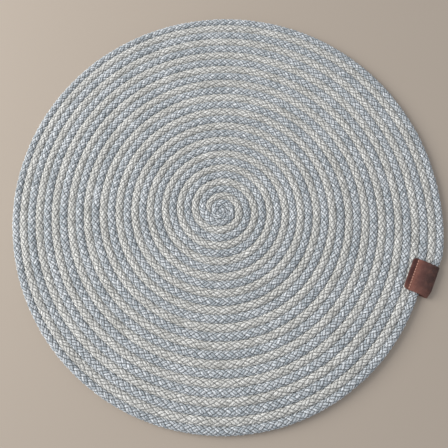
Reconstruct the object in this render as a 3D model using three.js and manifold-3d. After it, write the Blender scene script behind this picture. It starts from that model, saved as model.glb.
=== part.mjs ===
// A round placemat, coiled from two braided cotton cords. A blue cord and a cream
// cord lie side by side, wound and sewn as one double spiral, and a small leather
// tag is folded over the rim where both cords end.
// Millimetres, +Z up. The origin is the centre of the coil, on its underside.
// Angles are in degrees, clockwise from +X seen from above, which is the way the
// spiral grows; they run on from turn to turn.
import * as THREE from "three";
import { mergeVertices } from "three/addons/utils/BufferGeometryUtils.js";
import Module from "manifold-3d";

// The cords, as the sewing holds them.
const CORD_PITCH = 6.5; // radial step from one cord to the next
const CORD_GAP = 0.3; // air between neighbouring cords
const CORD_HEIGHT = 5.8; // and so the thickness of the mat
const LEAST_WIDTH = 0.9; // a squeezed cord keeps this share of the pitch
// One cord's section: how far across (-1 to 1) and how high (0 to 1) each corner is.
const SECTION = [
  { across: -0.42, high: 0 },
  { across: 0.42, high: 0 },
  { across: 1, high: 0.29 },
  { across: 1, high: 0.71 },
  { across: 0.42, high: 1 },
  { across: -0.42, high: 1 },
  { across: -1, high: 0.71 },
  { across: -1, high: 0.29 },
];

// The spiral. The blue cord starts alone and makes its first turn round its own
// end; from angle 0 it leaves room for the cream cord, which joins at CREAM_START.
const BLUE_START = -340;
const FIRST_TURN_OUT = 1.2; // radius of the blue centreline at angle 0, in pitches
const CREAM_START = 220;
const LAST_TURN = 13 * 360;
const CORDS_END = LAST_TURN + 18;
const EYE_RADIUS = 3; // the blue cord's end, turned in at the centre
const EYE_INSIDE = 0.4; // the first turn's sections stop just short of the axis
const EYE_SIDES = 18;

// How far the first double turn strays from an even spiral, in cord pitches. It
// leaves the wedge in which the cream cord starts, and each turn passes on less.
const STRAY_PASSED_ON = 0.8;
const STRAY = [
  { angle: 0, pitches: 0.2 },
  { angle: 90, pitches: -0.08 },
  { angle: 220, pitches: 0.42 },
  { angle: 270, pitches: 0.34 },
  { angle: 360, pitches: 0.2 * STRAY_PASSED_ON },
];

// The hand-wound mat gets a little oval towards its rim.
const OVAL = 1.6; // how much further out the rim is at its long axis
const OVAL_ANGLE = 67; // where the long axis lies
const OVAL_FROM = 5 * 360; // the inner turns are round

// It is not quite even either. The inner turns are wound tighter, and the outer
// ones shift a little to one side and bulge in one place.
const TIGHTER = 1.7; // how much further in the tightest turn lies
const TIGHTEST_TURN = 5 * 360;
const EVEN_AGAIN = 12.5 * 360;
const RIM_SHIFT = 0.5;
const RIM_SHIFT_ANGLE = 55;
const SHIFT_FROM = 9 * 360;
const BULGE = 1.4;
const BULGE_ANGLE = 305;
const BULGE_FROM = 10 * 360;
const BULGE_POWER = 6; // of a cosine: the higher, the narrower

// The sweep's steps, finer where the turns are wide.
const COARSE_STEP = 20;
const FINE_STEP = 10;
const FINE_FROM = 3 * 360;
const END_STEP = 2; // where the cords run into the tag

// The tag: a leather strip folded in half over the rim. Its own axis points
// outwards at TAG_AXIS; TAG_ALONG is measured across that axis, clockwise.
const LEATHER = 1.2; // thickness
const TAG_WIDTH = 26;
const TAG_AXIS = 24;
const TAG_ALONG = -13.8; // middle of the strip
const TAG_INNER = 154; // its free ends
const TAG_OUTER = 175.7; // outside of its fold
const FOLD_RADIUS = 3; // outside radius of the fold's two bends
const TAG_CORNER = 2; // rounding of the free corners
const BEND_STEPS = 5; // faces round each bend of the fold
const CORNER_STEPS = 4; // and round each corner
const CUT_PAST = 1; // the plan's cutter reaches this far past the leather

// Where the tag holds the mat, the cords lie on its lower leaf and are pressed
// flatter, and the outermost ones are drawn in to their ends.
const TAG_TURNS = LAST_TURN - 360; // only turns from here on reach the tag
const TAG_ZONE = { rise: 10, up: 13, down: 24, flat: 30 }; // angles in a turn
const PRESSED_LOW = LEATHER + CORD_GAP;
const PRESSED_HIGH = PRESSED_LOW + 4; // 4 mm is left of a cord's height
const TAG_HEIGHT = PRESSED_HIGH + CORD_GAP + LEATHER;
const END_DRAWN_IN = 4.8;
const DRAWN_IN_FROM = LAST_TURN + 11;

const BLUE = new THREE.MeshStandardMaterial({ color: 0xa9b4bf, roughness: 0.95 });
const CREAM = new THREE.MeshStandardMaterial({ color: 0xcbc4b1, roughness: 0.95 });
const BROWN = new THREE.MeshStandardMaterial({ color: 0x6a423b, roughness: 0.6 });

const { lerp, smoothstep, degToRad } = THREE.MathUtils;

function strayAt(angle) {
  const turn = Math.floor(angle / 360);
  const within = angle - 360 * turn;
  const next = STRAY.findIndex((row) => row.angle > within);
  const from = STRAY[next - 1];
  const to = STRAY[next];
  const share = smoothstep(within, from.angle, to.angle);
  return lerp(from.pitches, to.pitches, share) * STRAY_PASSED_ON ** turn;
}

function ovalAt(angle) {
  const grown = Math.max(0, angle - OVAL_FROM) / (LAST_TURN - OVAL_FROM);
  return OVAL * grown * Math.cos(degToRad(2 * (angle - OVAL_ANGLE)));
}

function unevenAt(angle) {
  const tight = smoothstep(angle, 0, TIGHTEST_TURN);
  const even = smoothstep(angle, TIGHTEST_TURN, EVEN_AGAIN);
  const towards = (direction) => Math.cos(degToRad(angle - direction));
  const shift = RIM_SHIFT * smoothstep(angle, SHIFT_FROM, LAST_TURN) * towards(RIM_SHIFT_ANGLE);
  const narrow = Math.max(0, towards(BULGE_ANGLE)) ** BULGE_POWER;
  const bulge = BULGE * smoothstep(angle, BULGE_FROM, LAST_TURN) * narrow;
  return shift + bulge - TIGHTER * tight * (1 - even);
}

// The blue cord's centreline, in pitches from the centre. Its first turn leaves the
// centre fast; from then on it grows by two pitches a turn, one for each cord.
function blueCentre(angle) {
  if (angle < 0) return FIRST_TURN_OUT * Math.sqrt(1 - angle / BLUE_START);
  return 1 + (2 * angle) / 360 + strayAt(angle);
}

// Outer edge of a turn, half way into the gap around it.
function outerEdge(angle) {
  if (angle < BLUE_START) return 0;
  const drawnIn = END_DRAWN_IN * smoothstep(angle, DRAWN_IN_FROM, CORDS_END);
  const uneven = ovalAt(angle) + unevenAt(angle) - drawnIn;
  return CORD_PITCH * (blueCentre(angle) + 0.5) + uneven;
}

// The blue cord lies outside, and the cream one between it and the turn before.
function bandOf(cord, angle) {
  const outside = outerEdge(angle);
  const lastTurn = outerEdge(angle - 360);
  const width = Math.max(LEAST_WIDTH * CORD_PITCH, (outside - lastTurn) / 2);
  const between = Math.max(outside - width, lastTurn);
  return cord === "blue"
    ? { inner: Math.max(between + CORD_GAP / 2, EYE_INSIDE), outer: outside - CORD_GAP / 2 }
    : { inner: lastTurn + CORD_GAP / 2, outer: between - CORD_GAP / 2 };
}

// How much of the tag's pressing a cord feels, from 0 to 1.
function pressedAt(angle) {
  if (angle < TAG_TURNS) return 0;
  const within = angle % 360;
  const before = smoothstep(within, TAG_ZONE.rise, TAG_ZONE.up);
  return before - smoothstep(within, TAG_ZONE.down, TAG_ZONE.flat);
}

function stepAt(angle) {
  if (angle < FINE_FROM) return COARSE_STEP;
  return angle < LAST_TURN + TAG_ZONE.rise ? FINE_STEP : END_STEP;
}

function stationAngles(start) {
  const angles = [TAG_TURNS + TAG_ZONE.up, TAG_TURNS + TAG_ZONE.down];
  for (let a = start; a <= CORDS_END; a += stepAt(a)) angles.push(a);
  return angles.sort((a, b) => a - b);
}

// A cord as one closed body: a radial section at each angle, joined by quads, with
// a flat cut at each end.
function cordGeometry(cord, start) {
  const points = [];
  for (const angle of stationAngles(start)) {
    const { inner, outer } = bandOf(cord, angle);
    const low = lerp(0, PRESSED_LOW, pressedAt(angle));
    const top = lerp(CORD_HEIGHT, PRESSED_HIGH, pressedAt(angle));
    for (const { across, high } of SECTION) {
      const radius = (inner + outer) / 2 + (across * (outer - inner)) / 2;
      const turned = degToRad(-angle);
      const height = lerp(low, top, high);
      points.push(radius * Math.cos(turned), radius * Math.sin(turned), height);
    }
  }
  const sides = SECTION.length;
  const stations = points.length / 3 / sides;
  const faces = [];
  for (let i = 0; i < stations - 1; i++)
    for (let j = 0; j < sides; j++) {
      const a = i * sides + j;
      const b = i * sides + ((j + 1) % sides);
      faces.push(a, b, b + sides, a, b + sides, a + sides);
    }
  const last = (stations - 1) * sides;
  for (let j = 1; j < sides - 1; j++) {
    faces.push(0, j + 1, j);
    faces.push(last, last + j, last + j + 1);
  }
  const geometry = new THREE.BufferGeometry();
  geometry.setAttribute("position", new THREE.Float32BufferAttribute(points, 3));
  return geometry.setIndex(faces);
}

// The turned-in end of the blue cord: the cord's own section, spun round the axis.
function eyeGeometry() {
  const half = SECTION.filter(({ across }) => across > 0);
  const profile = half.map(
    ({ across, high }) => new THREE.Vector2(across * EYE_RADIUS, high * CORD_HEIGHT),
  );
  const bottom = new THREE.Vector2(0, 0);
  const top = new THREE.Vector2(0, CORD_HEIGHT);
  return new THREE.LatheGeometry([bottom, ...profile, top], EYE_SIDES).rotateX(Math.PI / 2);
}

// The tag's strip seen along the rim: a U on its side, open towards the centre.
function foldedStrip() {
  const strip = new THREE.Shape();
  const reach = TAG_OUTER - FOLD_RADIUS;
  const hollow = FOLD_RADIUS - LEATHER;
  strip.moveTo(TAG_INNER, 0).lineTo(reach, 0);
  strip.absarc(reach, FOLD_RADIUS, FOLD_RADIUS, -Math.PI / 2, 0, false);
  strip.absarc(reach, TAG_HEIGHT - FOLD_RADIUS, FOLD_RADIUS, 0, Math.PI / 2, false);
  strip.lineTo(TAG_INNER, TAG_HEIGHT).lineTo(TAG_INNER, TAG_HEIGHT - LEATHER);
  strip.absarc(reach, TAG_HEIGHT - FOLD_RADIUS, hollow, Math.PI / 2, 0, true);
  strip.absarc(reach, FOLD_RADIUS, hollow, 0, -Math.PI / 2, true);
  strip.lineTo(TAG_INNER, LEATHER).closePath();
  const options = { depth: TAG_WIDTH, bevelEnabled: false, curveSegments: BEND_STEPS };
  return new THREE.ExtrudeGeometry(strip, options)
    .rotateX(Math.PI / 2)
    .translate(0, TAG_WIDTH / 2, 0);
}

// The strip's plan, with rounded corners at its free ends only.
function tagPlan() {
  const side = TAG_WIDTH / 2;
  const past = TAG_OUTER + CUT_PAST;
  const corner = TAG_INNER + TAG_CORNER;
  const plan = new THREE.Shape();
  plan.moveTo(past, -side).lineTo(past, side).lineTo(corner, side);
  plan.absarc(corner, side - TAG_CORNER, TAG_CORNER, Math.PI / 2, Math.PI, false);
  plan.absarc(corner, TAG_CORNER - side, TAG_CORNER, Math.PI, 1.5 * Math.PI, false);
  plan.closePath();
  const depth = TAG_HEIGHT + 2 * CUT_PAST;
  const options = { depth, bevelEnabled: false, curveSegments: CORNER_STEPS };
  return new THREE.ExtrudeGeometry(plan, options).translate(0, 0, -CUT_PAST);
}

const wasm = await Module();
wasm.setup();

function solidOf(geometry) {
  const bare = geometry.clone();
  bare.deleteAttribute("normal");
  bare.deleteAttribute("uv");
  const merged = mergeVertices(bare);
  const mesh = new wasm.Mesh({
    numProp: 3,
    vertProperties: merged.attributes.position.array,
    triVerts: new Uint32Array(merged.index.array),
  });
  return new wasm.Manifold(mesh);
}

function geometryOf(solid) {
  const mesh = solid.getMesh();
  const geometry = new THREE.BufferGeometry();
  geometry.setAttribute("position", new THREE.BufferAttribute(mesh.vertProperties, 3));
  geometry.setIndex(new THREE.BufferAttribute(mesh.triVerts, 1));
  geometry.computeVertexNormals();
  return geometry;
}

function named(name, geometry, material) {
  const mesh = new THREE.Mesh(geometry, material);
  mesh.name = name;
  return mesh;
}

function blueCord() {
  const spiral = solidOf(cordGeometry("blue", BLUE_START));
  return named("blue_cord", geometryOf(spiral.add(solidOf(eyeGeometry()))), BLUE);
}

function creamCord() {
  const spiral = solidOf(cordGeometry("cream", CREAM_START));
  return named("cream_cord", geometryOf(spiral), CREAM);
}

function leatherTag() {
  const tag = solidOf(foldedStrip()).intersect(solidOf(tagPlan()));
  const mesh = named("leather_tag", geometryOf(tag), BROWN);
  const holder = new THREE.Group();
  mesh.position.y = -TAG_ALONG;
  holder.rotation.z = degToRad(-TAG_AXIS);
  holder.add(mesh);
  return holder;
}

const group = new THREE.Group();
group.add(blueCord(), creamCord(), leatherTag());
export default group;
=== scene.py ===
# %% [markdown]
# # A coiled rope placemat
#
# The mat is wound from two braided cotton cords. A blue-grey cord and a cream cord
# lie side by side in one flat double spiral and are sewn to each other. A folded
# leather tag holds their ends at the rim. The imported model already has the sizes, so
# this lesson keeps them and adds what plain solids lack: the braid, the yarn, the
# grain of the leather and its stitches.
#
# Everything is in metres, +Z up, with the centre of the coil at the origin.

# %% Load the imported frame
from math import cos, pi, radians, sin, sqrt

import bpy
import numpy as np
from mathutils import Matrix, Vector


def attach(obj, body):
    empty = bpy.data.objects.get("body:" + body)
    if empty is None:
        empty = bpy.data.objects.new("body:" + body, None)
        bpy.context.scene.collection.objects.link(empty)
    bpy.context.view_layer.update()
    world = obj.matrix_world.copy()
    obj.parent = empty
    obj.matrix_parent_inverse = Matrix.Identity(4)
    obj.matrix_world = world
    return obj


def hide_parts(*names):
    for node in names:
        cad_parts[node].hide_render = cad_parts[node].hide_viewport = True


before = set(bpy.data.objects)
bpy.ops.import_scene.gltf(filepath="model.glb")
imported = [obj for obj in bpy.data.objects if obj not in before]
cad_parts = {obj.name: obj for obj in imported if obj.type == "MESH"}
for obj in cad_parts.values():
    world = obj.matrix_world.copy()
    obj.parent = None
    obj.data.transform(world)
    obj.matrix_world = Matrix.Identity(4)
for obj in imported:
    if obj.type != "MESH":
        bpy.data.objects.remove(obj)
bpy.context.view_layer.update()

bpy.ops.object.select_all(action="DESELECT")

# %% [markdown]
# ## The numbers of the coil
#
# A maker would note four things: how thick the cord is, how far apart the turns lie,
# where each cord starts, and where the tag sits. The same few numbers drive every
# piece below. Angles run clockwise from +X as seen from above, because that is the
# way this spiral grows, and they keep counting from turn to turn.

# %% Driving sizes
MM = 0.001
CORD_PITCH = 6.5 * MM  # from one cord to the next
PRESSED_IN = 0.5 * MM  # how far the sewing presses a cord into its soft neighbour
CORD_HEIGHT = 5.8 * MM
LEAST_WIDTH = 0.9  # a squeezed cord keeps this share of the pitch

BLUE_START = -340  # the blue cord makes a turn alone; from angle 0 there is room for both
FIRST_TURN_OUT = 1.2  # radius of the blue centreline at angle 0, in pitches
CREAM_START = 220
LAST_TURN = 13 * 360
CORDS_END = LAST_TURN + 18  # both cords end under the tag
EYE_INSIDE = 0.4 * MM  # the first turn stops just short of the middle

STRAY_PASSED_ON = 0.8  # each turn passes on this share of the first one's stray
STRAY = [  # (angle within the turn, cord pitches further out than an even spiral)
    (0, 0.2),
    (90, -0.08),
    (220, 0.42),
    (270, 0.34),
    (360, 0.2 * STRAY_PASSED_ON),
]
OVAL = 1.6 * MM  # the rim is a little oval, this much further out at its long axis
OVAL_ANGLE = 67
OVAL_FROM = 5 * 360
TIGHTER = 1.7 * MM  # the inner turns are wound tighter, and the tightest lies this far in
TIGHTEST_TURN = 5 * 360
EVEN_AGAIN = 12.5 * 360
RIM_SHIFT = 0.5 * MM  # the outer turns shift a little to one side
RIM_SHIFT_ANGLE = 55
SHIFT_FROM = 9 * 360
BULGE = 1.4 * MM  # and bulge in one place
BULGE_ANGLE = 305
BULGE_FROM = 10 * 360
BULGE_POWER = 6  # of a cosine: the higher, the narrower

LEATHER = 1.2 * MM  # thickness of the strip
TAG_WIDTH = 26 * MM
TAG_AXIS = 24  # the tag points outwards at this angle
TAG_ALONG = -13.8 * MM  # its middle, across that axis, clockwise
TAG_TURNS = LAST_TURN - 360  # only turns from here on reach the tag
TAG_ZONE = {"rise": 10, "up": 13, "down": 24, "flat": 30}  # angles where it presses
PRESSED_LOW = LEATHER + 0.3 * MM  # under the tag the cords ride over its lower leaf
PRESSED_THICK = 4 * MM  # and are squeezed to this thickness
END_DRAWN_IN = 4.8 * MM  # the last end is drawn in, so that it hides in the fold
DRAWN_IN_FROM = LAST_TURN + 11
print("mat of", round(CORDS_END / 360, 2), "turns, two cords a turn")

# %% [markdown]
# ## The spiral as a formula
#
# A spiral could be drawn as a curve by hand, but a formula keeps all turns a cord
# apart. `band` gives the inner and outer edge of either cord at any angle: the blue
# cord lies outside, and the cream one fills the room between it and the turn before.
# A hand-wound mat is never perfect, so the first turns stray a little, the inner ones
# are tighter, and the rim is slightly oval with a small bulge.
#
# Sewing presses soft cords into each other. So neighbours overlap by a hair instead of
# leaving a gap, and the grooves between them come out closed and dark.


# %% Where each cord lies
def smooth(value, start, end):
    """0 before start, 1 after end, and an S-shaped rise between."""
    share = np.clip((value - start) / (end - start), 0, 1)
    return share * share * (3 - 2 * share)


def stray(angle):
    """How far the spiral strays from an even one, in pitches."""
    turn = np.floor(angle / 360)
    within = angle - 360 * turn
    pitches = STRAY[0][1]
    for (start, low), (end, high) in zip(STRAY, STRAY[1:]):
        pitches = pitches + (high - low) * smooth(within, start, end)
    return pitches * STRAY_PASSED_ON**turn


def blue_centre(angle):
    """The blue centreline's distance from the middle, in pitches."""
    first = FIRST_TURN_OUT * np.sqrt(np.clip(1 - angle / BLUE_START, 0, None))
    return np.where(angle < 0, first, 1 + 2 * angle / 360 + stray(angle))


def uneven(angle):
    """How much further out a turn lies than on an even, round mat."""
    grown = np.clip(angle - OVAL_FROM, 0, None) / (LAST_TURN - OVAL_FROM)
    oval = OVAL * grown * np.cos(np.radians(2 * (angle - OVAL_ANGLE)))
    tight = smooth(angle, 0, TIGHTEST_TURN) * (1 - smooth(angle, TIGHTEST_TURN, EVEN_AGAIN))
    shifted = smooth(angle, SHIFT_FROM, LAST_TURN) * np.cos(np.radians(angle - RIM_SHIFT_ANGLE))
    towards_bulge = np.clip(np.cos(np.radians(angle - BULGE_ANGLE)), 0, None)
    bulge = smooth(angle, BULGE_FROM, LAST_TURN) * towards_bulge**BULGE_POWER
    return oval + RIM_SHIFT * shifted + BULGE * bulge - TIGHTER * tight


def outer_edge(angle):
    """How far out the blue cord's outer side lies."""
    drawn_in = END_DRAWN_IN * smooth(angle, DRAWN_IN_FROM, CORDS_END)
    edge = CORD_PITCH * (blue_centre(angle) + 0.5) + uneven(angle) - drawn_in
    return np.where(angle < BLUE_START, 0, edge)


def band(cord, angle):
    """The inner and outer edge of a cord's turn at this angle."""
    outside, last_turn = outer_edge(angle), outer_edge(angle - 360)
    width = np.maximum(LEAST_WIDTH * CORD_PITCH, (outside - last_turn) / 2)
    between = np.maximum(outside - width, last_turn)
    # The outermost turn has no neighbour to press into.
    if cord == "blue":
        inner = np.maximum(between - PRESSED_IN, EYE_INSIDE)
        return inner, outside + np.where(angle < CORDS_END - 360, PRESSED_IN, 0)
    return last_turn - PRESSED_IN, between + PRESSED_IN


def pressed(angle):
    """How much of the tag's pressing a cord feels, from 0 to 1."""
    within = angle % 360
    before = smooth(within, TAG_ZONE["rise"], TAG_ZONE["up"])
    after = smooth(within, TAG_ZONE["down"], TAG_ZONE["flat"])
    return np.where(angle < TAG_TURNS, 0, before - after)


for cord, start in (("blue", BLUE_START), ("cream", CREAM_START)):
    inner, outer = band(cord, np.array([start, 720.0, LAST_TURN]))
    print(cord, "centreline radii, mm:", np.round((inner + outer) / 2 / MM, 1))

# %% [markdown]
# ## The braid
#
# A cotton cord like this comes from a braiding machine with eight bobbins. Four
# strands run round it one way and four the other, each over one and under one, and
# every strand is a flat pair of yarns. So each crossing is a diamond of two slanting
# yarns, and where one way's diamonds meet the other's, the yarns make zigzags along
# the cord.
#
# Sixteen real tubes woven through each other along fifteen metres would be far too
# heavy. Seen from outside only the upper yarns matter, so the cord is one skin whose
# vertices lie on a diamond lattice, four steps across each strand. That puts a line
# of vertices on every yarn's ridge and on every crease, each at its own height.

# %% The lattice of crossings
STRANDS = 4  # each way round
STEPS = 4  # lattice steps across a strand
AROUND = 2 * STRANDS * STEPS  # half steps of the lattice round the cord
IN_ROW = AROUND // 2  # vertices in a row; every other row is half a step round
LEAD = {"blue": 27.3 * MM, "cream": 33.5 * MM}  # length in which a strand goes once round

# Height above the pits, from 0 to 1. Rows go across a strand, columns along the part
# that lies on top: at its edge or end, on the first quarter, halfway, on the last.
HEIGHTS = np.array(
    [
        [0.00, 0.25, 0.15, 0.25],  # edge
        [0.35, 0.85, 1.00, 0.85],  # ridge of the first yarn
        [0.15, 0.35, 0.45, 0.35],  # crease between the two yarns
        [0.35, 0.85, 1.00, 0.85],  # ridge of the second yarn
    ]
)


def row_of(cord):
    """Length of one row of lattice points."""
    return LEAD[cord] / AROUND


def float_height(around, along):
    """How high a lattice point stands, from 0 in a pit to 1 on a yarn's ridge."""
    first, second = (around + along) // 2, (around - along) // 2
    first_is_up = (first // STEPS + second // STEPS) % 2 == 0
    across = np.where(first_is_up, first, second) % STEPS
    length = np.where(first_is_up, second, first) % STEPS
    return HEIGHTS[across, length]


for cord in LEAD:
    print(cord, "cord: a row of", IN_ROW, "vertices every", round(row_of(cord) / MM, 2), "mm")

# %% [markdown]
# ## The path of a cord
#
# The middle of a cord's band, turn after turn, is its path. The blue cord starts with
# a tight curl, and its cut end fills the eye of the mat. The cream cord starts as a
# wedge squeezed between two blue turns. The path is measured by true length, so that
# the braid is as long at the rim as in the heart.

# %% Paths by length
FINE_ANGLE = 0.25  # degrees between the places from which the length is summed
CREAM_TIP = 165  # the cream cord's squeezed end reaches back to this angle
WEDGE = (150, 200)  # the blue cord makes room for that end between these angles
EYE_LEAD_IN = 3.6 * MM  # the blue end runs this far past the middle
EYE_SWELLING = 2.2 * MM  # and swells out to fill the eye
EYE_SWELLING_OVER = 9 * MM
NEVER_STRAIGHT = 1e-9  # keeps a straight stretch from having an endless bend radius


def visible_band(cord, angle):
    """The band of a cord, with the heart of the mat packed tight."""
    inner, outer = band(cord, angle)
    blue_inner = band("blue", angle)[0]
    last_turn = outer_edge(angle - 360)
    room = (blue_inner + PRESSED_IN - last_turn) * smooth(angle, *WEDGE)
    packed = (angle > 0) & (angle < CREAM_START)
    if cord == "cream":
        return inner, np.where(packed, last_turn + room + PRESSED_IN, outer)
    inner = np.where(packed, last_turn + room - PRESSED_IN, inner)
    whole = LEAST_WIDTH * CORD_PITCH + 2 * PRESSED_IN
    return np.where(angle < 0, outer - whole, inner), outer


def path_of(cord, start):
    """Places along a cord's middle in the plan, a row of the lattice apart.

    Places and directions are complex numbers: x is the real part and y the other.
    """
    fine = np.arange(start, CORDS_END + FINE_ANGLE, FINE_ANGLE)
    inner, outer = visible_band(cord, fine)
    spots = (inner + outer) / 2 * np.exp(-1j * np.radians(fine))
    if cord == "blue":
        heading = (spots[1] - spots[0]) / abs(spots[1] - spots[0])
        spots = np.concatenate([[spots[0] - EYE_LEAD_IN * heading], spots])
        fine = np.concatenate([[start], fine])
    lengths = np.concatenate([[0], np.cumsum(np.abs(np.diff(spots)))])
    rows = np.linspace(0, lengths[-1], round(lengths[-1] / row_of(cord)) + 1)
    places = np.interp(rows, lengths, spots.real) + 1j * np.interp(rows, lengths, spots.imag)
    return places, np.interp(rows, lengths, fine), rows


def outward_of(places):
    """The direction square to the path, away from the middle, and the bend's radius."""
    heading = np.gradient(places)
    heading /= np.abs(heading)
    turning = np.abs(np.gradient(np.unwrap(np.angle(heading)))) + NEVER_STRAIGHT
    return heading * 1j, np.abs(np.gradient(places)) / turning


for cord, start in (("blue", BLUE_START), ("cream", CREAM_TIP)):
    places, angles, lengths = path_of(cord, start)
    print(cord, "cord:", round(lengths[-1], 3), "m,", len(places), "rows")

# %% [markdown]
# ## Sweeping the cord along its path
#
# Each row of the lattice is one section of the cord, squarer than a circle because
# the neighbours press on it. The cord rolls slowly as it is wound, which shows another
# side of the braid every few turns, and it wanders by fractions of a millimetre. The
# wandering is a sum of a few sine waves with seeded phases, so it is the same each
# time. Where the curl is tighter than the cord is thick, its inner side is squeezed.

# %% Sections and the skin's vertices
RELIEF = 0.8 * MM  # from a yarn's ridge down to a pit
SECTION_POWER = 2.2  # 2 is an ellipse, more is squarer
ROLL_LENGTH = 0.9  # metres of cord in which it rolls once
ROLL_WAVES = 0.12  # and it rolls unevenly, by this part of a turn
WANDER_OUT = 0.14 * MM
WANDER_UP = 0.2 * MM
END_ROUNDING = 2.2 * MM  # a cut end is rubbed round over this length
TIP = 0.03  # the rounding stops here and leaves a small flat end
SQUEEZE = 0.9  # the inner side keeps this share of the bend's radius
LEAST_HEIGHT = 0.6  # a wedge-thin end keeps this share of the height


def waves(length, seed, wavelengths=(0.11, 0.067, 0.041, 0.023)):
    """Smooth wandering between about -1 and 1 along the cord."""
    phases = np.random.default_rng(seed).uniform(0, 2 * pi, len(wavelengths))
    total = sum(np.sin(2 * pi * length / w + p) for w, p in zip(wavelengths, phases))
    return total / len(wavelengths)


def squarish(turned):
    """The outline of a section at these angles, and the way its surface faces."""
    circle = np.cos(turned), np.sin(turned)
    bend = 2 / SECTION_POWER
    shape_out, shape_up = (np.sign(v) * np.abs(v) ** bend for v in circle)
    facing = np.stack([np.sign(v) * np.abs(v) ** (2 - bend) for v in circle])
    return shape_out, shape_up, facing / np.hypot(*facing)


def low_and_tall(angles, lengths, fullness, seed):
    """How high the cord's underside lies, and how tall the cord is."""
    press = pressed(angles)
    wander = WANDER_UP * (1 - press) * (1 + waves(lengths, seed)) / 2
    tall = CORD_HEIGHT + (PRESSED_THICK - CORD_HEIGHT) * press
    return PRESSED_LOW * press + wander, tall * (LEAST_HEIGHT + (1 - LEAST_HEIGHT) * fullness)


def reaches(cord, width, taper, lengths, bend_radius):
    """How far the cord reaches outwards and inwards from its path."""
    out = width / 2 * taper
    inwards = np.minimum(out, SQUEEZE * bend_radius)
    if cord == "blue":
        out = out + EYE_SWELLING * taper * (1 - smooth(lengths, 0, EYE_SWELLING_OVER))
    return out[:, None], inwards[:, None]


def skin_of(cord, start, seed):
    """Every vertex of a cord, as rows x vertices in a row x 3, with its angles."""
    places, angles, lengths = path_of(cord, start)
    outward, bend_radius = outward_of(places)
    along = np.arange(len(angles))[:, None]
    around = 2 * np.arange(IN_ROW)[None, :] + along % 2
    roll = lengths / ROLL_LENGTH + ROLL_WAVES * waves(lengths, seed)
    shape_out, shape_up, facing = squarish(2 * pi * (around / AROUND + roll[:, None]))

    inner, outer = visible_band(cord, angles)
    fullness = np.clip((outer - inner) / (LEAST_WIDTH * CORD_PITCH), 0, 1)
    low, tall = low_and_tall(angles, lengths, fullness, seed + 2)
    to_end = np.minimum(lengths, lengths[-1] - lengths) / END_ROUNDING
    taper = np.sqrt(1 - (1 - np.clip(to_end, TIP, 1)) ** 2)
    reach_out, reach_in = reaches(cord, outer - inner, taper, lengths, bend_radius)
    sunk = RELIEF * (float_height(around, along) - 1) * (taper * fullness)[:, None]
    wander = (WANDER_OUT * waves(lengths, seed + 1))[:, None]

    out = np.where(shape_out > 0, reach_out, reach_in) * shape_out + sunk * facing[0] + wander
    height = (low + tall / 2)[:, None] + (tall / 2 * taper)[:, None] * shape_up + sunk * facing[1]
    plan = places[:, None] + out * outward[:, None]
    return np.stack([plan.real, plan.imag, height], axis=-1), angles


blue_skin = skin_of("blue", BLUE_START, seed=11)
cream_skin = skin_of("cream", CREAM_TIP, seed=23)
for name, (points, angles) in (("blue", blue_skin), ("cream", cream_skin)):
    print(name, "cord:", points.shape[0] * points.shape[1], "vertices")

# %% [markdown]
# ## From vertices to pieces
#
# One mesh for each cord would be too heavy to handle, so each cord is cut into
# lengths of a few turns. A quad joins four lattice points, the corners of a diamond.
# At a cut both pieces use the same zigzag of vertices, and each is closed by a fan of
# triangles. The normals are worked out on the whole cord before it is cut, so no cut
# shows.
#
# Two UV maps come with the mesh. `Braid` counts turns round the cord and leads along
# it, and the material finds every strand from these two numbers. `OFBake` lays the
# skin out as neat strips, for when the finish is baked to pictures.

# %% Neighbours and normals


def column_of(around, along):
    """Where in its row a vertex is stored."""
    return (around - along % 2) // 2 % IN_ROW


def normals_of(points):
    """A normal for each vertex, from its four neighbours half a step away."""
    along = np.arange(1, len(points) - 1)[:, None]
    around = 2 * np.arange(IN_ROW)[None, :] + along % 2

    def at(step_around, step_along):
        row = along + step_along
        return points[row, column_of(around + step_around, row)]

    normals = np.cross(at(1, 1) - at(-1, -1), at(-1, 1) - at(1, -1))
    normals /= np.linalg.norm(normals, axis=-1, keepdims=True)
    return np.concatenate([normals[:1], normals, normals[-1:]])


blue_normals, cream_normals = normals_of(blue_skin[0]), normals_of(cream_skin[0])
print("normals:", blue_normals.shape[:2], "and", cream_normals.shape[:2])

# %% [markdown]
# A modeller could build one stretch of the lattice and repeat it with an Array and a
# Curve modifier. The turns differ in width and roll, though, so here each diamond is
# named by its place in the lattice, and the four corners follow by counting.

# %% The skin's diamonds
DIAMOND = np.array([(-1, 0), (0, -1), (1, 0), (0, 1)])  # (around, along) of its corners
SKIN_WIDTH = 19 * MM  # the cord's skin, unrolled


def strips(row, around, along, first, last):
    """The baking map: the skin cut into strips that fill a square, one above another.

    Each strip keeps a margin of a step or two, and one more strip is left for the ends.
    """
    count = max(1, round(sqrt((last - first) * row / SKIN_WIDTH)))
    rows = -(-(last - first) // count)
    strip = (along[:, :1] - first - 1) // rows
    across = (along - first - strip * rows + 1) / (rows + 3)
    up = (strip + (around + 2) / (AROUND + 4)) / (count + 1)
    return np.stack([across, up], axis=-1).reshape(-1, 2), count + 1


def diamonds(row, first, last):
    """The quads between two rows of the lattice, with both maps at their corners."""
    middle = np.arange(first + 1, last)[:, None]
    beside = 2 * np.arange(IN_ROW)[None, :] + (middle + 1) % 2
    around = (beside[..., None] + DIAMOND[:, 0]).reshape(-1, 4)
    along = (middle[..., None] + DIAMOND[:, 1] + 0 * beside[..., None]).reshape(-1, 4)
    quads = (along - first) * IN_ROW + column_of(around, along)
    braid_map = np.stack([around, along], axis=-1).reshape(-1, 2) / AROUND
    return quads.tolist(), braid_map, *strips(row, around, along, first, last)


quads, *_, strip_count = diamonds(row_of("blue"), 0, 1000)
print("1000 rows hold", len(quads), "diamonds and are baked as", strip_count, "strips")

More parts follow.
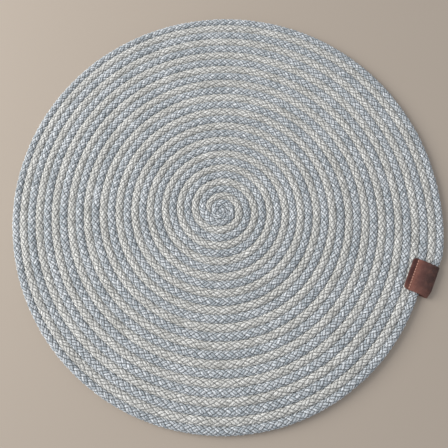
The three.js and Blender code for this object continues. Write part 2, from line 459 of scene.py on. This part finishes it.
# %% [markdown]
# A real cut end shows the braid's strands running in to the middle. Under the tag and
# in the curl nobody sees it, so a plain fan of triangles closes the skin, and every
# piece is a solid that can also be printed.

# %% Closing the ends
CAP_ACROSS = (0.25, 0.75)  # where the two ends lie in the baking map's last strip
CAP_RADIUS = 0.4  # of that strip's height


def end_cap(edge, inwards, first, centre, disc_middle, disc_radius):
    """A fan of triangles round a centre: its rim, its faces and both maps."""
    ring = np.arange(AROUND + 1)
    rows = edge + inwards * ((ring + edge) % 2)
    rim = (rows - first) * IN_ROW + column_of(ring, rows)
    turn = 2 * pi / AROUND * ring
    disc = disc_middle + disc_radius * np.stack([np.cos(turn), np.sin(turn)], axis=-1)
    fan, braid_map, bake_map = [], [], []
    for k in range(AROUND):
        one, other = (k + 1, k) if inwards == 1 else (k, k + 1)
        fan.append([centre, int(rim[one]), int(rim[other])])
        braid_map += [(k + 0.5, edge), (one, edge), (other, edge)]
        bake_map += [disc_middle, disc[one], disc[other]]
    return rim[:-1], fan, np.array(braid_map) / AROUND, np.array(bake_map)


print("each end is closed by", AROUND, "triangles")

# %% [markdown]
# All lists now go into one mesh. `from_pydata` takes vertices and faces, the two maps
# are filled loop by loop, and the normals of the whole cord are set as custom normals.

# %% Building one length of cord


def new_piece(name, vertices, faces, facing, maps, material):
    """A smooth object at the origin, with its own normals and UV maps."""
    mesh = bpy.data.meshes.new(name)
    mesh.from_pydata(vertices, [], faces)
    for map_name, spots in maps.items():
        layer = mesh.uv_layers.new(name=map_name)
        layer.data.foreach_set("uv", np.vstack(spots).astype(np.float32).ravel())
    mesh.uv_layers["Braid"].active_render = True
    mesh.shade_smooth()
    facing = facing / np.linalg.norm(facing, axis=-1, keepdims=True)
    mesh.normals_split_custom_set_from_vertices(facing.tolist())
    mesh.materials.append(material)
    piece = bpy.data.objects.new(name, mesh)
    bpy.context.scene.collection.objects.link(piece)
    return piece


def length_of_cord(name, row, points, normals, first, last, material):
    """One closed piece of a cord, from one row of the lattice to another."""
    faces, braid_map, bake_map, strip_count = diamonds(row, first, last)
    maps = {"Braid": [braid_map], "OFBake": [bake_map]}
    skin = points[first : last + 1].reshape(-1, 3)
    centres, facing_out = [], []
    for across, edge, inwards in zip(CAP_ACROSS, (first, last), (1, -1)):
        rim, fan, *cap_maps = end_cap(
            edge,
            inwards,
            first,
            centre=len(skin) + len(centres),
            disc_middle=np.array([across, (strip_count - 0.5) / strip_count]),
            disc_radius=CAP_RADIUS / strip_count,
        )
        centres.append(skin[rim].mean(0))
        facing_out.append(centres[-1] - points[edge + 2 * inwards].mean(0))
        faces += fan
        for spots, cap_map in zip(maps.values(), cap_maps):
            spots.append(cap_map)
    facing = np.vstack([normals[first : last + 1].reshape(-1, 3), facing_out])
    return new_piece(name, np.vstack([skin, centres]), faces, facing, maps, material)


rim_length = 2 * pi * float(outer_edge(LAST_TURN))
print("a full turn at the rim holds about", round(rim_length / row_of("blue")), "rows")

# %% [markdown]
# ## Nodes without clutter
#
# Materials are easier to read when each node is one line. These helpers add a node,
# set its values or link them, and hand back its output.

# %% Helpers for materials


def srgb(red, green, blue):
    """A colour as a screen shows it, 0 to 255, turned into Blender's linear values."""
    parts = np.array([red, green, blue]) / 255
    linear = np.where(parts <= 0.04045, parts / 12.92, ((parts + 0.055) / 1.055) ** 2.4)
    return (*linear.tolist(), 1.0)


def put(tree, socket, value):
    """Links another node's output to a socket, or sets a plain value on it."""
    if isinstance(value, bpy.types.NodeSocket):
        tree.links.new(value, socket)
    else:
        socket.default_value = value


def calc(tree, operation, *values):
    """A Math node."""
    node = tree.nodes.new("ShaderNodeMath")
    node.operation = operation
    for socket, value in zip(node.inputs, values):
        put(tree, socket, value)
    return node.outputs[0]


def ramp(tree, value, low, high, start=0.0, end=1.0):
    """A value between low and high brought to start to end, smoothly."""
    node = tree.nodes.new("ShaderNodeMapRange")
    node.interpolation_type = "SMOOTHSTEP"
    for socket, number in zip(node.inputs, (value, low, high, start, end)):
        put(tree, socket, number)
    return node.outputs[0]


def blend(tree, factor, first, second, way="MIX"):
    """A colour mix."""
    node = tree.nodes.new("ShaderNodeMix")
    node.data_type = "RGBA"
    node.blend_type = way
    for index, value in ((0, factor), (6, first), (7, second)):
        put(tree, node.inputs[index], value)
    return node.outputs[2]


def noise(tree, where, scale, detail=2.0):
    """Soft cloudy values from 0 to 1."""
    node = tree.nodes.new("ShaderNodeTexNoise")
    for name, value in (("Vector", where), ("Scale", scale), ("Detail", detail)):
        put(tree, node.inputs[name], value)
    return node.outputs["Fac"]


def vector(tree, *values):
    """Up to three numbers joined to one vector."""
    node = tree.nodes.new("ShaderNodeCombineXYZ")
    for socket, value in zip(node.inputs, values):
        put(tree, socket, value)
    return node.outputs[0]


def coordinates(tree, map_name=None):
    """A UV map's two numbers, or the piece's own coordinates if no map is named."""
    if map_name is None:
        return tree.nodes.new("ShaderNodeTexCoord").outputs["Object"]
    node = tree.nodes.new("ShaderNodeUVMap")
    node.uv_map = map_name
    split = tree.nodes.new("ShaderNodeSeparateXYZ")
    put(tree, split.inputs[0], node.outputs[0])
    return split.outputs[0], split.outputs[1]


def bump(tree, height, distance):
    """A normal that makes fine grain look raised, by up to a distance in metres."""
    node = tree.nodes.new("ShaderNodeBump")
    for name, value in (("Height", height), ("Distance", distance), ("Strength", 1.0)):
        put(tree, node.inputs[name], value)
    return node.outputs[0]


def new_finish(name, roughness):
    """A new material, its node tree and its main shader."""
    material = bpy.data.materials.new(name)
    material.use_nodes = True
    shader = material.node_tree.nodes["Principled BSDF"]
    shader.inputs["Roughness"].default_value = roughness
    return material, material.node_tree, shader


print("helpers ready: calc, ramp, blend, noise, vector, coordinates, bump")

# %% [markdown]
# ## Yarn
#
# Each strand of the braid is a flat pair of matt cotton yarns, and each yarn is a few
# thin plies twisted together. The material finds, for a point on the skin, the strand
# of each direction that passes there and which of the two lies on top. How far across
# and along its yarn the point is gives the rounding, the twist of the plies and painted
# shade: darker creases at the yarn's edges, where it dives under, and between its plies.
# Every bit of yarn that shows took the dye a little differently, so each gets its own
# tone, and loose fibres break the cotton up into fine flecks.

# %% Which yarn is on top
YARNS = 2  # in a strand


def which_yarn(tree):
    """Across the yarn and along its upper part (0 to 1), and numbers that name it."""
    around, along = coordinates(tree, "Braid")
    first = calc(tree, "MULTIPLY", calc(tree, "ADD", around, along), STRANDS)
    second = calc(tree, "MULTIPLY", calc(tree, "SUBTRACT", around, along), STRANDS)
    first_cell, second_cell = calc(tree, "FLOOR", first), calc(tree, "FLOOR", second)
    cells = calc(tree, "ADD", first_cell, second_cell)
    first_is_up = calc(tree, "LESS_THAN", calc(tree, "FLOORED_MODULO", cells, 2.0), 0.5)

    def choose(if_second, if_first):
        """The value that belongs to the strand on top."""
        node = tree.nodes.new("ShaderNodeMix")
        for index, value in ((0, first_is_up), (2, if_second), (3, if_first)):
            put(tree, node.inputs[index], value)
        return node.outputs[0]

    across = calc(tree, "MULTIPLY", choose(second, first), YARNS)
    yarn = calc(tree, "FLOOR", across)
    length = calc(tree, "FRACT", choose(first, second))
    other = choose(first_cell, second_cell)
    numbers = vector(tree, yarn, other, first_is_up)
    return calc(tree, "FRACT", across), length, yarn, numbers


print("a diamond of the braid shows", YARNS, "yarns")


# %% [markdown]
# Cotton is matt and a little furry. A bright yarn with painted shade in its creases gives
# the braid its drawing, the plies give each yarn a fine slant with a little painted shade
# between them, and sheen gives the soft rim that loose fibres make. The blue cord's second
# yarn is a shade darker than its first; the cream cord's two are alike. The grain goes into
# a bump of a fraction of a millimetre.

# %% The cotton finish
YARN_ROUNDING = 2.2  # the higher, the flatter the top of a hump
FLOAT_ROUNDING = 4.0
TWISTS = 5.0  # of the plies in the length of one diamond
PLY_SLANT = 1.6  # twists from one side of a yarn to the other
SLUB_SCALE = 90.0  # of the noise for the cotton's uneven tone, about 11 mm a cloud
FIBRE_SCALE = 1300.0  # of the noise for its flecks, less than 1 mm each
FIBRE_DETAIL = 4.0
TONE = {"float": 0.15, "slub": 0.4}  # how much each adds to the tone
GRAIN = {"yarn": 0.6, "ply": 0.25, "fibre": 0.15}  # shares in the height of the grain
GRAIN_HEIGHT = 0.3 * MM


def hump(tree, value, power):
    """0 at both ends of 0 to 1, and 1 in the middle."""
    off = calc(tree, "ABSOLUTE", calc(tree, "SUBTRACT", calc(tree, "MULTIPLY", value, 2.0), 1.0))
    return calc(tree, "SUBTRACT", 1.0, calc(tree, "POWER", off, power))


def weighed(tree, *pairs):
    """The sum of some values, each times its share."""
    total, *others = [calc(tree, "MULTIPLY", value, share) for value, share in pairs]
    for part in others:
        total = calc(tree, "ADD", total, part)
    return total


def yarn_tone(tree, yarn, numbers, pair_contrast):
    """0 for the light tone to 1 for the dark one."""
    float_chance = tree.nodes.new("ShaderNodeTexWhiteNoise")
    put(tree, float_chance.inputs["Vector"], numbers)
    dyed = weighed(
        tree,
        (calc(tree, "FLOORED_MODULO", yarn, 2.0), pair_contrast),
        (float_chance.outputs["Value"], TONE["float"]),
        (noise(tree, coordinates(tree), SLUB_SCALE), TONE["slub"]),
    )
    return ramp(tree, dyed, low=0.1, high=0.6)


def grey(tree, value):
    """The same number for red, green and blue."""
    node = tree.nodes.new("ShaderNodeCombineColor")
    for socket in node.inputs[:3]:
        put(tree, socket, value)
    return node.outputs[0]


def cotton(name, light, dark, pair_contrast, crease_shade_depth):
    """Braided cotton, with painted shade: a crease keeps the given share of the yarn's brightness.
    """
    material, tree, shader = new_finish(name, roughness=0.92)
    across, length, yarn, numbers = which_yarn(tree)
    rounding = hump(tree, across, YARN_ROUNDING)
    dive = hump(tree, length, FLOAT_ROUNDING)
    turn = weighed(tree, (length, TWISTS), (across, PLY_SLANT))
    ply = hump(tree, calc(tree, "FRACT", turn), 2.0)
    fibre = noise(tree, coordinates(tree), FIBRE_SCALE, FIBRE_DETAIL)

    on_top = calc(tree, "MULTIPLY", rounding, dive)
    # Painted shade: darker where the yarn curves down at its edges and dives under the other
    # strand.
    crease_shade = ramp(tree, on_top, low=0.0, high=0.8, start=crease_shade_depth, end=1.0)
    # Painted shade between the plies of each yarn.
    ply_shade = ramp(tree, ply, low=0.0, high=0.7, start=0.9, end=1.0)
    fleck = ramp(tree, fibre, low=0.38, high=0.62, start=0.56, end=1.28)
    # The painted shade, times the random fibre flecks.
    shade = calc(tree, "MULTIPLY", calc(tree, "MULTIPLY", crease_shade, ply_shade), fleck)
    colour = blend(tree, yarn_tone(tree, yarn, numbers, pair_contrast), light, dark)
    shaded = blend(tree, 1.0, colour, grey(tree, shade), "MULTIPLY")
    put(tree, shader.inputs["Base Color"], shaded)

    shares = (rounding, GRAIN["yarn"]), (ply, GRAIN["ply"]), (fibre, GRAIN["fibre"])
    put(tree, shader.inputs["Normal"], bump(tree, weighed(tree, *shares), GRAIN_HEIGHT))
    shader.inputs["Sheen Weight"].default_value = 0.15
    shader.inputs["Sheen Roughness"].default_value = 0.6
    shader.inputs["Specular IOR Level"].default_value = 0.25
    return material


blue_cotton = cotton(
    "blue_cotton",
    light=srgb(244, 247, 248),
    dark=srgb(181, 189, 193),
    pair_contrast=0.15,
    crease_shade_depth=0.2,
)
cream_cotton = cotton(
    "cream_cotton",
    light=srgb(246, 244, 237),
    dark=srgb(196, 194, 185),
    pair_contrast=0.0,
    crease_shade_depth=0.3,
)
print("finishes:", blue_cotton.name, "and", cream_cotton.name)

# %% [markdown]
# ## Cutting the cords into their turns
#
# The cuts lie where the tag covers the outer turns. The inner turns are short, so
# several share a piece. Each piece then rides on the root body, and the imported cord
# it replaces is hidden.

# %% The two cords
CUT_TURNS = (5, 8, 10, 11, 12)  # a piece ends after each of these turns
CUT_ANGLE = 18  # clockwise from +X, under the tag


def lay_cord(name, row, points, angles, normals, material):
    """The pieces of one cord, placed on the root body, with the imported cord hidden."""
    cuts = [int(np.searchsorted(angles, 360 * turn + CUT_ANGLE)) for turn in CUT_TURNS]
    edges = [0, *cuts, len(points) - 1]
    laid = []
    for number, (first, last) in enumerate(zip(edges, edges[1:]), start=1):
        begin = max(first - 1, 0)  # the zigzag at a cut is shared by both pieces
        piece = length_of_cord(f"{name}_{number}", row, points, normals, begin, last, material)
        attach(piece, "root")
        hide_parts(name)
        laid.append(piece)
    return laid


for cord, cord_skin, normals, material in (
    ("blue", blue_skin, blue_normals, blue_cotton),
    ("cream", cream_skin, cream_normals, cream_cotton),
):
    name = cord + "_cord"
    laid = lay_cord(name, row_of(cord), *cord_skin, normals, material)
    triangles = [sum(len(f.vertices) - 2 for f in piece.data.polygons) for piece in laid]
    print(name, "in", len(laid), "pieces of", triangles, "triangles")

# %% [markdown]
# ## The leather tag
#
# The tag is a strip of leather about twice as long as it looks, folded over the rim.
# A flat grid is the natural start: it is as wide and long as the cut strip. Its free
# corners are rounded, then the strip is bent along a given profile. It lies on
# the cords, dips where the stitches pull it down, swells over the last cords, turns
# round the rim and comes back underneath. A solidify modifier gives it thickness.

# %% The strip's profile
# How far out and how high the middle of the leather is, in mm, from the upper free
# end round the fold to the lower one.
PROFILE = [
    ("free end", 154.0, 6.15),
    ("before the stitches", 156.3, 5.75),
    ("stitches", 158.1, 5.25),
    ("after the stitches", 160.1, 5.75),
    ("over the cords", 164.0, 6.35),
    ("over the last cord", 170.0, 6.15),
    ("turning down", 173.7, 5.1),
    ("fold", 175.1, 3.4),
    ("turning under", 173.9, 1.5),
    ("under the last cord", 170.5, 0.8),
    ("lower leaf", 162.5, 0.75),
    ("lower free end", 154.0, 0.75),
]
PROFILE_STEPS = 24  # drawn between two rows of the table


def through(points, steps):
    """A smooth curve through points, by Catmull and Rom's rule."""
    padded = np.vstack([2 * points[0] - points[1], points, 2 * points[-1] - points[-2]])
    share = np.linspace(0, 1, steps, endpoint=False)[:, None]
    parts = []
    for before, start, end, after in zip(padded, padded[1:], padded[2:], padded[3:]):
        cubic = (3 * start - before - 3 * end + after) * share**3
        square = (2 * before - 5 * start + 4 * end - after) * share**2
        parts.append(0.5 * (2 * start + (end - before) * share + square + cubic))
    return np.vstack([*parts, points[-1:]])


profile = through(np.array([(out, up) for _, out, up in PROFILE]) * MM, PROFILE_STEPS)
step_lengths = np.linalg.norm(np.diff(profile, axis=0), axis=1)
profile_length = np.concatenate([[0], np.cumsum(step_lengths)])
STRIP = profile_length[-1]
print("the flat strip is", round(TAG_WIDTH / MM, 1), "by", round(STRIP / MM, 1), "mm")

# %% [markdown]
# The grid's x runs across the tag and its y along the strip. Bending is then a walk
# along the profile: a point's y says how far to walk. The free corners are drawn in
# on circles first. The fold sags a little at the end where no cord fills it.

# %% Bending the strip over the rim
TAG_CORNER = 2.8 * MM  # radius of the free corners
SAG = 1.3 * MM  # how far the empty end of the fold falls in
SAG_OVER = 7 * MM  # and over what length of the fold
SAG_FROM = (166.5 * MM, 173.5 * MM)  # it sets in between these distances out
SAG_DOWN = 0.5  # the upper leaf also comes down by this share of it
LEAF_HEIGHTS = (2 * MM, 5 * MM)  # from the lower leaf's height to the upper one's
GRID_STEP = 0.8 * MM


def tag_place(out, across, up):
    """From the tag's own directions to the mat's."""
    axis, clockwise = radians(-TAG_AXIS), across + TAG_ALONG
    x = out * cos(axis) + clockwise * sin(axis)
    y = out * sin(axis) - clockwise * cos(axis)
    return Vector((x, y, up))


def bent(across, along):
    """Where a point of the flat strip comes to lie."""
    out = np.interp(along, profile_length, profile[:, 0])
    up = np.interp(along, profile_length, profile[:, 1])
    sag = SAG * smooth(across, TAG_WIDTH / 2 - SAG_OVER, TAG_WIDTH / 2) * smooth(out, *SAG_FROM)
    return tag_place(out - sag, across, up - SAG_DOWN * sag * smooth(up, *LEAF_HEIGHTS))


def rounded(across, along):
    """Draws the corners of the flat strip in on circles."""
    half = Vector((TAG_WIDTH / 2, STRIP / 2))
    point = Vector((across, along))
    corner = Vector((abs(point.x) - half.x + TAG_CORNER, abs(point.y) - half.y + TAG_CORNER))
    if min(corner) <= 0:
        return across, along
    corner *= max(corner) / corner.length
    return (
        (half.x - TAG_CORNER + corner.x) * (1 if across > 0 else -1),
        (half.y - TAG_CORNER + corner.y) * (1 if along > 0 else -1),
    )


bpy.ops.mesh.primitive_grid_add(
    x_subdivisions=round(TAG_WIDTH / GRID_STEP),
    y_subdivisions=round(STRIP / GRID_STEP),
    size=1,
)
tag = bpy.context.object
tag.name = tag.data.name = "leather_tag_strip"
for vertex in tag.data.vertices:
    across, along = rounded(vertex.co.x * TAG_WIDTH, vertex.co.y * STRIP)
    vertex.co = bent(across, along + STRIP / 2)
print("bent strip:", len(tag.data.vertices), "vertices")

# %% [markdown]
# ## Leather
#
# The leather is thin, matt and brown, and rubbed pale towards one side. Its colour along
# the strip also carries painted light and shade that follow the bends: painted light just
# behind the stitches, where the strip rises towards the lamp, and painted shade outside
# the stitches and round the fold, where it turns away. Its colour follows the strip from
# one free end to the other, so the material reads the grid's own UV map.
# The pebbled grain is a Voronoi pattern, with painted shade in its cracks, and the wear is
# soft noise. Both work on the strip's real size in millimetres.

# %% The leather finish
# Colours along the strip, from the upper free end (0) round the fold to the lower (1):
# the brown with painted light where the strip rises behind the stitches and painted shade
# where it dips before them and turns down round the fold.
LEATHER_TONES_LIT_AND_SHADED = [
    (0.00, srgb(94, 50, 42)),
    (0.06, srgb(88, 45, 37)),
    (0.11, srgb(142, 86, 70)),
    (0.20, srgb(104, 62, 53)),
    (0.34, srgb(82, 52, 44)),
    (0.42, srgb(68, 40, 32)),
    (0.52, srgb(61, 37, 30)),
    (1.00, srgb(96, 60, 50)),
]


RUBBED = srgb(146, 92, 76)
WORN = srgb(144, 96, 82)
# Painted shade in the cracks between the pebbles of the grain.
CRACK_SHADE = srgb(46, 28, 26)
TONES_DRIFT = 0.1  # the tones wander by this share of the strip
PEBBLE_SCALE = 1.9
LEATHER_GRAIN = {"pebble": 0.7, "fine": 0.3}  # shares in the height of the grain
LEATHER_GRAIN_HEIGHT = 0.12 * MM


def lit_and_shaded_tones_along(tree, along):
    """The leather's colour at a place along the strip, with its painted light and shade."""
    tones = tree.nodes.new("ShaderNodeValToRGB")
    while len(tones.color_ramp.elements) < len(LEATHER_TONES_LIT_AND_SHADED):
        tones.color_ramp.elements.new(0.5)
    for element, (position, colour) in zip(tones.color_ramp.elements, LEATHER_TONES_LIT_AND_SHADED):
        element.position = position
        element.color = colour
    put(tree, tones.inputs[0], along)
    return tones.outputs[0]


def pebbles(tree, flat):
    """0 in the cracks between the pebbles of the grain, 1 on top of them."""
    grain = tree.nodes.new("ShaderNodeTexVoronoi")
    grain.feature = "DISTANCE_TO_EDGE"
    put(tree, grain.inputs["Vector"], flat)
    put(tree, grain.inputs["Scale"], PEBBLE_SCALE)
    return ramp(tree, grain.outputs["Distance"], low=0.0, high=0.3)


def leather_finish():
    material, tree, shader = new_finish("brown_leather", roughness=0.62)
    across, along = coordinates(tree, "Strip")
    across_mm = calc(tree, "MULTIPLY", across, TAG_WIDTH / MM)
    along_mm = calc(tree, "MULTIPLY", along, STRIP / MM)
    flat = vector(tree, across_mm, along_mm)
    cloud = noise(tree, flat, scale=0.35, detail=3.0)
    drift = calc(tree, "MULTIPLY", calc(tree, "SUBTRACT", cloud, 0.5), TONES_DRIFT)
    pebble = pebbles(tree, flat)
    fine = noise(tree, flat, scale=6.0, detail=4.0)

    patches = noise(tree, flat, scale=0.22, detail=4.0)
    worn = ramp(tree, patches, low=0.45, high=0.7, start=0.0, end=0.4)
    rubbed = ramp(tree, across, low=0.62, high=1.0, start=0.0, end=0.55)
    # Painted shade: darker in the cracks between the pebbles.
    shade_in_cracks = ramp(tree, pebble, low=0.0, high=0.5, start=0.35, end=0.0)
    colour = lit_and_shaded_tones_along(tree, calc(tree, "ADD", along, drift))
    for amount, tone in ((rubbed, RUBBED), (worn, WORN), (shade_in_cracks, CRACK_SHADE)):
        colour = blend(tree, amount, colour, tone)
    put(tree, shader.inputs["Base Color"], colour)
    put(tree, shader.inputs["Roughness"], ramp(tree, cloud, low=0.3, high=0.7, start=0.5, end=0.72))
    height = weighed(tree, (pebble, LEATHER_GRAIN["pebble"]), (fine, LEATHER_GRAIN["fine"]))
    put(tree, shader.inputs["Normal"], bump(tree, height, LEATHER_GRAIN_HEIGHT))
    return material


leather = leather_finish()
print("leather tones along the strip:", len(LEATHER_TONES_LIT_AND_SHADED))

# %% [markdown]
# The strip now gets its thickness, half to each side, and softly rubbed edges. It rides
# on the root body, and the imported tag is hidden.

# %% Thickness and edges
EDGE_RUBBED = 0.3 * MM
EDGE_ANGLE = radians(40)  # sharper edges than this stay sharp
tag.data.uv_layers[0].name = "Strip"
tag.data.materials.append(leather)
thickness = tag.modifiers.new("Thickness", "SOLIDIFY")
thickness.thickness = LEATHER
thickness.offset = 0
edges = tag.modifiers.new("Rubbed edges", "BEVEL")
edges.width = EDGE_RUBBED
edges.segments = 3
edges.limit_method = "ANGLE"
bpy.ops.object.modifier_apply(modifier=thickness.name)
bpy.ops.object.modifier_apply(modifier=edges.name)
bpy.ops.object.shade_smooth_by_angle(angle=EDGE_ANGLE)
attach(tag, "root")
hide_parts("leather_tag")
print("tag:", len(tag.data.polygons), "faces")

# %% [markdown]
# ## Stitches
#
# A row of stitches near the free edge holds both leaves together through the cords.
# One stitch is a small rounded bead of thread, half sunk into the leather. It is made
# once and copied along the row, above and below, and each copy is a little crooked.

# %% Thread
# Painted shade: the thread is lighter on the ridges of its twist and darker in the grooves,
# following its bump.
THREAD_LIT_AND_SHADED_TONES = srgb(188, 130, 110), srgb(230, 180, 158)
TWIST_SCALE = 900.0  # of the wave that twists the thread
TWIST_HEIGHT = 0.08 * MM

thread, tree, shader = new_finish("tan_thread", roughness=0.7)
ply_twist = tree.nodes.new("ShaderNodeTexWave")
put(tree, ply_twist.inputs["Vector"], coordinates(tree))
put(tree, ply_twist.inputs["Scale"], TWIST_SCALE)
twist_shade = ramp(tree, ply_twist.outputs["Fac"], low=0.0, high=1.0)
put(tree, shader.inputs["Base Color"], blend(tree, twist_shade, *THREAD_LIT_AND_SHADED_TONES))
put(tree, shader.inputs["Normal"], bump(tree, twist_shade, TWIST_HEIGHT))
print("finish:", thread.name)

# %% [markdown]
# A sphere is the start of a stitch. Its coordinates are raised to a power, which makes
# it squarer, and it is stretched along the thread.

# %% One stitch
STITCH_LONG = 1.7 * MM
STITCH_THICK = 0.8 * MM
BEAD_POWER = 0.8  # 1 is an egg, less is squarer

bpy.ops.mesh.primitive_uv_sphere_add(segments=16, ring_count=10, radius=0.5)
stitch = bpy.context.object
for vertex in stitch.data.vertices:
    bead = Vector(np.sign(vertex.co) * np.abs(np.array(vertex.co) * 2) ** BEAD_POWER / 2)
    vertex.co = (bead.x * STITCH_LONG, bead.y * STITCH_THICK, bead.z * STITCH_THICK)
bpy.ops.object.shade_smooth()
stitch.data.materials.append(thread)
print("one stitch:", len(stitch.data.polygons), "faces")

# %% [markdown]
# A needle goes through both leaves, so each stitch on top has one below. The upper row
# lies in the dip of the leather, and the lower one is pressed flat against the table
# side. All copies are joined to one piece.

# %% Two rows of stitches
STITCHES = 11
ROW_INSET = 1.9 * MM  # from the tag's side to the middle of the first stitch
STITCH_ROW = next(out for name, out, _ in PROFILE if name == "stitches") * MM
CROOKED = 6  # degrees that a stitch may be off
upper_leaf = profile[: 4 * PROFILE_STEPS]  # its free end, the dip and the rise behind it

rng = np.random.default_rng(5)
upper = np.interp(STITCH_ROW, upper_leaf[:, 0], upper_leaf[:, 1])
stitch_rows = []
for k in range(STITCHES):
    across = ROW_INSET + (TAG_WIDTH - 2 * ROW_INSET) * k / (STITCHES - 1) - TAG_WIDTH / 2
    for level in (upper + LEATHER / 2, STITCH_THICK / 2):
        copy = stitch.copy()
        copy.data = stitch.data.copy()
        bpy.context.scene.collection.objects.link(copy)
        turned = radians(-90 - TAG_AXIS + rng.uniform(-CROOKED, CROOKED))
        twist = Matrix.Rotation(turned, 4, "Z")
        copy.data.transform(Matrix.Translation(tag_place(STITCH_ROW, across, level)) @ twist)
        stitch_rows.append(copy)
bpy.data.objects.remove(stitch)
bpy.ops.object.select_all(action="DESELECT")
for copy in stitch_rows:
    copy.select_set(True)
bpy.context.view_layer.objects.active = stitch_rows[0]
bpy.ops.object.join()
stitches = bpy.context.object
stitches.name = stitches.data.name = "stitch_row"
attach(stitches, "root")
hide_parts("leather_tag")
print("stitches:", 2 * STITCHES)

# %% [markdown]
# ## Table and light
#
# The mat lies on a plain pale table. A large soft lamp stands to the left and a bit
# behind, so cords that run up and down have a bright left flank and a dark groove on
# the right. The sky fills the rest.

# %% Table and light
FLOOR_SIZE = 3.0
LAMP_PLACE = Vector((-1.2, 0.3, 0.75))
LAMP_SIZE = 0.9
LAMP_WATTS = 20
SKY_COLOUR = srgb(236, 240, 248)
SKY_STRENGTH = 0.58

bpy.ops.mesh.primitive_plane_add(size=FLOOR_SIZE)
table = bpy.context.object
table.name = "table"
table_top, tree, shader = new_finish("pale_table", roughness=0.8)
shader.inputs["Base Color"].default_value = srgb(184, 170, 154)
table.data.materials.append(table_top)

bpy.ops.object.light_add(type="AREA", location=LAMP_PLACE)
key = bpy.context.object
key.name = "window_light"
key.data.shape = "RECTANGLE"
key.data.size = LAMP_SIZE
key.data.size_y = LAMP_SIZE
key.data.energy = LAMP_WATTS
key.rotation_euler = (-LAMP_PLACE).to_track_quat("-Z", "Y").to_euler()

sky = bpy.data.worlds.new("soft_room")
sky.use_nodes = True
sky.node_tree.nodes["Background"].inputs["Color"].default_value = SKY_COLOUR
sky.node_tree.nodes["Background"].inputs["Strength"].default_value = SKY_STRENGTH
bpy.context.scene.world = sky
bpy.context.scene.view_settings.view_transform = "Standard"
print("lamp", round(LAMP_PLACE.length, 2), "m from the mat")

# %% [markdown]
# ## Camera
#
# The camera is held over the mat and looks down, a little from the front. Its place
# and the two directions it is turned by are given outright, and its own upward
# direction follows from them.

# %% Camera
CAMERA_PLACE = Vector((7.12, -86.71, 359.30)) * MM
FORWARD = Vector((-0.01438, 0.20892, -0.97783))
TO_RIGHT = Vector((0.99989, 0.0, -0.01470))
LENS = 36.16  # mm
SENSOR = 36  # mm across

bpy.ops.object.camera_add()
camera = bpy.context.object
camera.data.lens = LENS
camera.data.sensor_width = SENSOR
turned = Matrix((TO_RIGHT, TO_RIGHT.cross(FORWARD), -FORWARD)).transposed().to_4x4()
camera.matrix_world = Matrix.Translation(CAMERA_PLACE) @ turned
bpy.context.scene.camera = camera
print("camera at", [round(v, 3) for v in CAMERA_PLACE])
